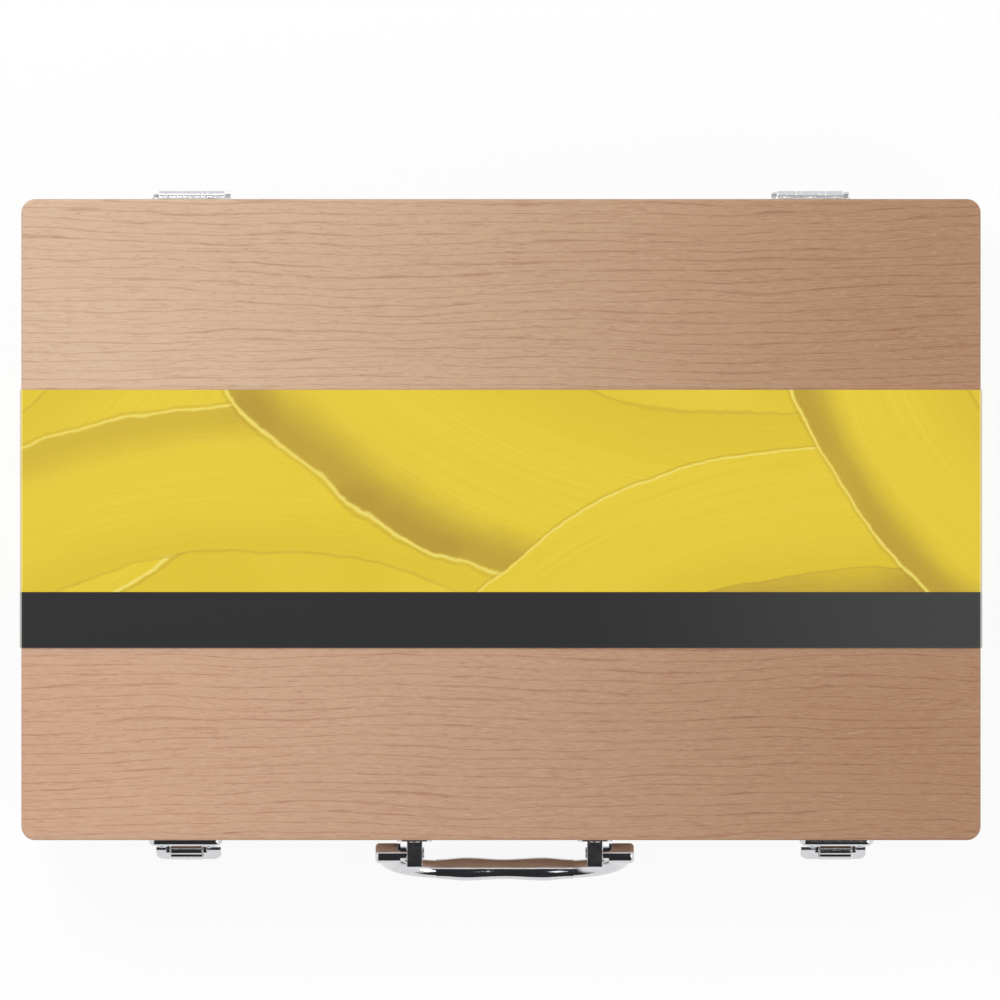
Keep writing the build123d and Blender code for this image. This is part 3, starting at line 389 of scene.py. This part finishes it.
def printed_card(name):
    """Satin card with a print of broad yellow paint strokes over a black strip, a painted sheen on the
    black towards the right, and a painted highlight along the side folds.
    """
    card = Finish(name)
    place = card.place()
    x, y, z = card.split(place)
    soft = card.noise(card.join(x * 13.0, y * 13.0, 0.0), 1.0, 2.0) - 0.5
    ragged = card.noise(card.join(x * 90.0, y * 90.0, 0.0), 1.0, 3.0, 0.6) - 0.5
    wobble = soft * 0.5 + ragged * 0.09
    tone = card.mix(card.step(soft, -0.2, 0.2), PRINT_DEEP, PRINT_LIGHT)
    tone = card.mix(0.6, tone, PRINT_YELLOW)
    for stroke in KNIFE_STROKES:
        tone = knife_stroke(card, tone, x, y, wobble, *stroke)
    threads = 2 * math.pi / WEAVE_PITCH
    warp_thread = card.math("SINE", (x * math.cos(WEAVE_TURN) + y * math.sin(WEAVE_TURN)) * threads)
    weft_thread = card.math("SINE", (y * math.cos(WEAVE_TURN) - x * math.sin(WEAVE_TURN)) * threads)
    canvas = warp_thread * weft_thread * card.step(soft, -0.02, 0.12) * 0.5 + 0.5
    tone = card.mix(card.step(canvas, 0.55, 0.90) * 0.40, tone, PRINT_LIGHT)
    tone = card.mix(card.step(canvas, 0.45, 0.10) * 0.45, tone, PRINT_DEEP)
    pits = card.noise(card.join(x * 420.0, y * 420.0, 0.0), 1.0, 1.0)
    tone = card.mix(card.step(pits, 0.80, 0.86) * 0.5, tone, PRINT_UMBER)
    strip = card.step(y, STRIP_EDGE + STRIP_SOFTNESS, STRIP_EDGE - STRIP_SOFTNESS)
    # Painted sheen: the black lightens towards the right end, as a reflection would
    black = card.mix(card.step(x, STRIP_PAINTED_SHEEN_FROM, SLEEVE_HIGH.x), PRINT_BLACK, PRINT_BLACK_SHEEN)
    tone = card.mix(strip, tone, black)
    # Painted highlight along the side folds, over the yellow print only
    fold_highlight = card.step(abs(abs(x) - SLEEVE_HIGH.x + FOLD_IN), FOLD_HALF, 0.0) * (1.0 - strip)
    tone = card.mix(fold_highlight * 0.35, tone, PRINT_GLINT)
    between = (z < SLEEVE_HIGH.z - PRINT_SKIN) * (z > PRINT_SKIN)
    inward = (abs(x) < SLEEVE_HIGH.x - PRINT_SKIN) * between
    surface = card.surface(
        Base_Color=card.mix(inward, tone, CARD_INSIDE),
        Roughness=0.40 + 0.24 * inward,
        Coat_Weight=0.12 - 0.12 * inward,
        Coat_Roughness=0.1,
        Normal=card.bump(card.noise(place, 2600.0), 0.03 * MM, 0.25),
    )
    return card.finished(surface)


# Metal
CHROME_BRIGHT = shade(220, 220, 222)
CHROME_DULL = shade(204, 204, 208)
STAMPED_EDGE = 0.45 * MM


def chrome(name, rough=0.07, rounding=STAMPED_EDGE):
    """Bright plate with the faint ripple and dulling of small cast and stamped fittings."""
    metal = Finish(name)
    place = metal.place()
    smear = metal.noise(place, 420.0, 3.0)
    surface = metal.surface(
        Base_Color=metal.mix(smear, CHROME_BRIGHT, CHROME_DULL),
        Metallic=1.0,
        Roughness=smear * 0.08 + rough,
        Normal=metal.bump(metal.noise(place, 160.0), 0.22 * MM, 0.35, rounding),
    )
    return metal.finished(surface)


# Paint tubes
LAMINATE = shade(240, 240, 236)
CRIMP_METAL = shade(214, 214, 210)
# Distances from the crimped end, in mm
CRIMP_END = 8.0
CRIMP_FOLD = 0.6
LINE_FROM, LINE_TO = 57.0, 59.3
BAND_FROM, BAND_TO = 62.0, 104.4
TUBE_COLOURS = {
    "white": (238, 238, 234),
    "yellow": (246, 205, 32),
    "orange": (238, 118, 30),
    "red": (206, 44, 32),
    "crimson": (142, 22, 44),
    "violet": (92, 52, 132),
    "blue": (28, 66, 160),
    "green": (22, 122, 72),
    "brown": (110, 66, 40),
    "black": (32, 32, 34),
}


def tube_skin(name, node, colour):
    """White laminate with a broad band of the paint's colour and a folded metal crimp."""
    skin = Finish(name)
    place = skin.place()
    along = (skin.split(place)[0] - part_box(node)[0].x) / MM
    band = skin.step(along, BAND_FROM, BAND_FROM + 0.4) * skin.step(along, BAND_TO, BAND_TO - 0.4)
    line = skin.step(along, LINE_FROM, LINE_FROM + 0.3) * skin.step(along, LINE_TO, LINE_TO - 0.3)
    tone = skin.mix(skin.math("MAXIMUM", band, line), LAMINATE, shade(*colour))
    crimp = skin.step(along, CRIMP_END + 0.4, CRIMP_END)
    folds = skin.math("PINGPONG", along, CRIMP_FOLD) * crimp
    surface = skin.surface(
        Base_Color=skin.mix(crimp, tone, CRIMP_METAL),
        Roughness=0.26,
        Coat_Weight=0.3,
        Coat_Roughness=0.1,
        Normal=skin.bump(folds * 0.35 + skin.noise(place, 45.0), 0.9 * MM, 0.5),
    )
    return skin.finished(surface)


CAP_BLACK = shade(30, 30, 32)
CAP_WORN = shade(48, 48, 50)


def moulded_caps(name):
    """Black moulded plastic with a fine tooled surface."""
    plastic = Finish(name)
    grain = plastic.noise(plastic.place(), 1500.0)
    surface = plastic.surface(
        Base_Color=plastic.mix(grain * 0.25, CAP_BLACK, CAP_WORN),
        Roughness=grain * 0.1 + 0.35,
        Normal=plastic.bump(grain, 0.04 * MM, 0.4),
    )
    return plastic.finished(surface)


# Brushes
LACQUER_RED = shade(132, 34, 26)
LACQUER_DEEP = shade(112, 24, 20)
LACQUER_DIP = shade(28, 24, 24)
DIP_LENGTH = 24.0 * MM
DIP_EDGE = 0.5 * MM
HAIR_PALE = shade(186, 122, 60)
HAIR_DARK = shade(112, 64, 28)


def lacquered(name):
    """Brush handles in deep red lacquer, dipped black at the tail."""
    lacquer = Finish(name)
    x, y, z = lacquer.split(lacquer.place())
    dip_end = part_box("brush_handles")[0].y + DIP_LENGTH
    dipped = lacquer.step(y, dip_end, dip_end - DIP_EDGE)
    swirl = lacquer.noise(lacquer.join(x * 300.0, y * 30.0, z * 300.0))
    surface = lacquer.surface(
        Base_Color=lacquer.mix(dipped, lacquer.mix(swirl, LACQUER_RED, LACQUER_DEEP), LACQUER_DIP),
        Roughness=swirl * 0.06 + 0.18,
        Coat_Weight=0.6,
        Coat_Roughness=0.05,
    )
    return lacquer.finished(surface)


def brush_hair(name):
    """Golden-brown hair, with a difference from strand to strand."""
    hair = Finish(name)
    x, y, z = hair.split(hair.place())
    strands = hair.noise(hair.join(x * 5000.0, y * 60.0, z * 5000.0), 1.0, 1.0)
    surface = hair.surface(
        Base_Color=hair.mix(strands, HAIR_PALE, HAIR_DARK),
        Roughness=strands * 0.2 + 0.45,
        Normal=hair.bump(strands, 0.2 * MM, 0.8),
    )
    return hair.finished(surface)


# Finishes on the CAD nodes
PALETTE_PALE = shade(210, 172, 130)
PALETTE_DEEP = shade(202, 160, 117)
FITTINGS = ("hinge_", "latch_", "handle_")

dress(beech("beech_panel_face"), "lid_panel")
dress(beech("beech_base_face", shift=3.7), "base_panel")
dress(beech("beech_lid_front", shift=7.1), "lid_front_wall", "lid_back_wall")
dress(beech("beech_base_front", shift=11.3), "base_front_wall", "base_back_wall")
dress(beech("beech_lid_side", "Y", shift=15.9), "lid_left_wall", "lid_right_wall")
dress(beech("beech_base_side", "Y", shift=19.4), "base_left_wall", "base_right_wall")
dress(beech("beech_buttons", shift=23.0), "palette_blocks", "turn_button_left", "turn_button_right")
veneer = beech("palette_veneer", shift=31.0, pale=PALETTE_PALE, deep=PALETTE_DEEP, front_shading=0.0)
dress(veneer, "palette")
dress(plain_ply("plywood"), "centre_divider", "brush_divider", "tube_rails", "brush_rests")
dress(printed_card("printed_card"), "sleeve_top", "sleeve_bottom")
# All fittings first; the cast bail and the screws then get their own finish
dress(chrome("bright_chrome"), *[name for name in NODES if name.startswith(FITTINGS)])
dress(chrome("cast_chrome", rounding=0.0), "handle_bail")
screw_plate = chrome("screw_plate", rough=0.14)
dress(screw_plate, *[name for name in NODES if name.endswith("screws")])
dress(chrome("ferrule_metal", rough=0.2), "brush_ferrules")
dress(moulded_caps("cap_plastic"), "tube_caps")
dress(lacquered("handle_lacquer"), "brush_handles")
golden_hair = brush_hair("golden_hair")
dress(golden_hair, "brush_hairs")
for colour_name, colour in TUBE_COLOURS.items():
    tube = f"paint_tube_{colour_name}"
    dress(tube_skin(f"tube_{colour_name}", tube, colour), tube)


# Meshes that stand for CAD nodes
def piece(name, mesh, material, body):
    """A finished mesh as a piece that moves with a body."""
    data = bpy.data.meshes.new(name)
    mesh.to_mesh(data)
    mesh.free()
    data.materials.append(material)
    made = bpy.data.objects.new(name, data)
    bpy.context.scene.collection.objects.link(made)
    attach(made, body)
    return made


def islands(name):
    """The low and high corner of each loose piece of a CAD node, always in the same order."""
    mesh = bmesh.new()
    mesh.from_mesh(NODES[name].data)
    bmesh.ops.remove_doubles(mesh, verts=mesh.verts, dist=0.01 * MM)
    waiting = set(mesh.verts)
    boxes = []
    while waiting:
        front = [waiting.pop()]
        found = list(front)
        while front:
            for edge in front.pop().link_edges:
                for vertex in edge.verts:
                    if vertex in waiting:
                        waiting.discard(vertex)
                        front.append(vertex)
                        found.append(vertex)
        low = Vector([min(vertex.co[i] for vertex in found) for i in range(3)])
        high = Vector([max(vertex.co[i] for vertex in found) for i in range(3)])
        boxes.append((low, high))
    mesh.free()
    return sorted(boxes, key=lambda corners: tuple(corners[0]))


# Cross-slotted screws
HEAD_RISE = 0.8 * MM
HEAD_EDGE = 0.25 * MM
SLOT_HALF = 0.3 * MM
SLOT_REACH = 1.45 * MM
SLOT_DEPTH = 0.5 * MM
SLOT_BANK = 0.1 * MM
HEAD_RINGS = 20
HEAD_SPOKES = 56
SHANK_SHARE = 0.52
TIP_SHARE = 0.3


def ease(value, low, high):
    """A smooth step from 0 at low to 1 at high."""
    part = min(1.0, max(0.0, (value - low) / (high - low)))
    return part * part * (3 - 2 * part)


def slot_depth(u, v):
    """How deep the cross slot is at a place on the head."""

    def arm(along, beside):
        side = ease(SLOT_HALF + SLOT_BANK - abs(beside), 0, SLOT_BANK)
        return side * ease(SLOT_REACH + SLOT_BANK - abs(along), 0, SLOT_BANK)

    return SLOT_DEPTH * max(arm(u, v), arm(v, u))


def add_screw(mesh, seat, outward, radius, length, turn):
    """One screw: a domed head with a cross slot on a plain shank."""
    stand = outward.to_track_quat("Z", "Y").to_matrix() @ Matrix.Rotation(turn, 3, "Z")
    shank = radius * SHANK_SHARE

    def ring(distance, height=None):
        corners = []
        for spoke in range(HEAD_SPOKES):
            angle = 2 * math.pi * spoke / HEAD_SPOKES
            u, v = distance * math.cos(angle), distance * math.sin(angle)
            dome = HEAD_EDGE + (HEAD_RISE - HEAD_EDGE) * (1 - (distance / radius) ** 2)
            level = dome - slot_depth(u, v) if height is None else height
            corners.append(mesh.verts.new(seat + stand @ Vector((u, v, level))))
        return corners

    rings = [ring(shank * TIP_SHARE, -length), ring(shank, shank - length), ring(shank, 0), ring(radius, 0)]
    rings += [ring(radius * (HEAD_RINGS - step) / HEAD_RINGS) for step in range(HEAD_RINGS)]
    for lower, upper in zip(rings, rings[1:]):
        for spoke in range(HEAD_SPOKES):
            after = (spoke + 1) % HEAD_SPOKES
            mesh.faces.new((lower[spoke], lower[after], upper[after], upper[spoke])).smooth = True
    mesh.faces.new(list(reversed(rings[0])))
    mesh.faces.new(rings[-1])


def cross_screws(name, outward):
    """Cross-slotted screws in the places of a node's plain ones."""
    outward = Vector(outward)
    mesh = bmesh.new()
    for low, high in islands(name):
        size = high - low
        reach = abs(size.dot(outward))
        beside = [side for side, part in zip(size, outward) if not part]
        seat = (low + high) / 2 + outward * (reach / 2 - HEAD_RISE)
        add_screw(mesh, seat, outward, min(beside) / 2, reach - HEAD_RISE, random.uniform(0, math.pi))
    made = piece(f"slotted_{name}", mesh, screw_plate, BODIES[name])
    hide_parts(name)


for screw_node, way_out in (
    ("hinge_base_screws", (0, 1, 0)),
    ("hinge_lid_screws", (0, 1, 0)),
    ("latch_plate_screws", (0, -1, 0)),
    ("latch_keeper_screws", (0, -1, 0)),
    ("handle_bracket_screws", (0, -1, 0)),
    ("turn_button_screws", (0, 0, -1)),
):
    cross_screws(screw_node, way_out)


# Brush hair as strands
STRANDS_PER_BRUSH = 420
STRAND_RADIUS = 0.1 * MM
STRAND_STEPS = 7
STRAND_SIDES = 3
STRAND_INMOST = 0.55
STRAND_SHORTEST = 0.93
STRAND_TAPER = 0.75
TUFT_ROOT = 2.7 * MM
TUFT_SWELL = 1.6 * MM
TUFT_POINT = 2.4


def tuft_radius(part):
    """The radius of the round tuft from the ferrule to its point."""
    return (TUFT_ROOT + TUFT_SWELL * part) * (1 - part**TUFT_POINT)


def add_strand(mesh, root, angle, spread, length):
    """One hair, thinner at its tip, that follows the tuft."""
    rings = []
    for step in range(STRAND_STEPS + 1):
        part = step / STRAND_STEPS
        out = tuft_radius(part) * spread
        middle = root + Vector((math.cos(angle) * out, part * length, math.sin(angle) * out))
        thick = STRAND_RADIUS * (1 - STRAND_TAPER * part)
        corners = []
        for side in range(STRAND_SIDES):
            turn = 2 * math.pi * side / STRAND_SIDES
            corners.append(mesh.verts.new(middle + Vector((math.cos(turn), 0, math.sin(turn))) * thick))
        rings.append(corners)
    for lower, upper in zip(rings, rings[1:]):
        for side in range(STRAND_SIDES):
            after = (side + 1) % STRAND_SIDES
            mesh.faces.new((lower[side], lower[after], upper[after], upper[side]))


def brush_tufts():
    """Strands for each brush, most of them on the outside of its tuft."""
    mesh = bmesh.new()
    for low, high in islands("brush_hairs"):
        root = Vector(((low.x + high.x) / 2, low.y, (low.z + high.z) / 2))
        length = high.y - low.y
        for _ in range(STRANDS_PER_BRUSH):
            spread = STRAND_INMOST + (1 - STRAND_INMOST) * random.random() ** 0.5
            angle = random.uniform(0, 2 * math.pi)
            add_strand(mesh, root, angle, spread, length * random.uniform(STRAND_SHORTEST, 1.0))
    made = piece("brush_strands", mesh, golden_hair, BODIES["brush_hairs"])
    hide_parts("brush_hairs")


brush_tufts()


# Floor, lamps and camera
FLOOR_REACH = 30.0
FLOOR_PAPER = shade(250, 250, 250)
FLOOR_WHITE = 0.9
SOFT_SURROUND = (0.62, 0.62, 0.63, 1.0)
DARK_CEILING = (0.03, 0.03, 0.032, 1.0)
# Name, place, side in metres and power in watts
LAMPS = (
    ("key", (-0.7, 1.1, 1.7), 0.9, 17.5),
    ("fill", (1.0, -1.0, 1.6), 1.2, 7.0),
)


def floor():
    """A pale floor that looks white to the camera and in the chrome, and keeps the case's shadow."""
    corners = [(x * FLOOR_REACH, y * FLOOR_REACH, 0) for x, y in ((-1, -1), (1, -1), (1, 1), (-1, 1))]
    mesh = bpy.data.meshes.new("studio_floor")
    mesh.from_pydata(corners, [], [(0, 1, 2, 3)])
    ground = bpy.data.objects.new("studio_floor", mesh)
    bpy.context.scene.collection.objects.link(ground)
    paper = Finish("white_floor")
    seen = paper.math("ADD", paper.ray("Camera"), paper.ray("Glossy"), clamp=True) * FLOOR_WHITE
    sheet = paper.surface(Base_Color=FLOOR_PAPER, Roughness=0.6)
    glow = paper.node("ShaderNodeEmission", None, {"Color": WHITE, "Strength": 1.0})
    lit = paper.node("ShaderNodeMixShader", None, {0: seen, 1: sheet, 2: glow})
    mesh.materials.append(paper.finished(lit))


def world():
    """A soft surround; the chrome sees a white panel on each side and behind, and a dark ceiling."""
    surround = bpy.data.worlds.new("studio")
    bpy.context.scene.world = surround
    surround.use_nodes = True
    sky = ShaderTree(surround.node_tree)
    x, y, _ = sky.split(sky.node("ShaderNodeTexCoord", output="Generated"))
    panels = sky.math("MAXIMUM", sky.step(abs(x), 0.34, 0.62), sky.step(y, 0.01, 0.06))
    colour = sky.mix(sky.ray("Glossy"), SOFT_SURROUND, sky.mix(panels, DARK_CEILING, WHITE))
    colour = sky.mix(sky.ray("Camera"), colour, WHITE)
    light = sky.node("ShaderNodeBackground", None, {"Color": colour, "Strength": 1.0})
    sky.node("ShaderNodeOutputWorld", None, {0: light})


def lamp(name, place, side, power):
    """A square soft lamp pointed at the case."""
    light = bpy.data.lights.new(name, "AREA")
    light.shape = "SQUARE"
    light.size = side
    light.energy = power
    holder = bpy.data.objects.new(name, light)
    holder.location = place
    holder.rotation_euler = (-Vector(place)).to_track_quat("-Z", "Y").to_euler()
    bpy.context.scene.collection.objects.link(holder)


def camera():
    """The camera straight above the case, framed as the photograph is."""
    view = bpy.data.cameras.new("camera")
    view.sensor_width = SENSOR
    view.lens = SENSOR * CAMERA_HEIGHT / (PHOTO_PIXELS * PHOTO_MM_PER_PIXEL * MM)
    view.clip_end = 100.0
    holder = bpy.data.objects.new("camera", view)
    middle = PHOTO_PIXELS / 2
    holder.location = (
        (middle - CASE_CENTRE_PIXEL[0]) * PHOTO_MM_PER_PIXEL * MM,
        (CASE_CENTRE_PIXEL[1] - middle) * PHOTO_MM_PER_PIXEL * MM,
        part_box("lid_panel")[1].z + CAMERA_HEIGHT,
    )
    bpy.context.scene.collection.objects.link(holder)
    bpy.context.scene.camera = holder


floor()
world()
for lamp_settings in LAMPS:
    lamp(*lamp_settings)
camera()
bpy.context.scene.view_settings.view_transform = "Standard"
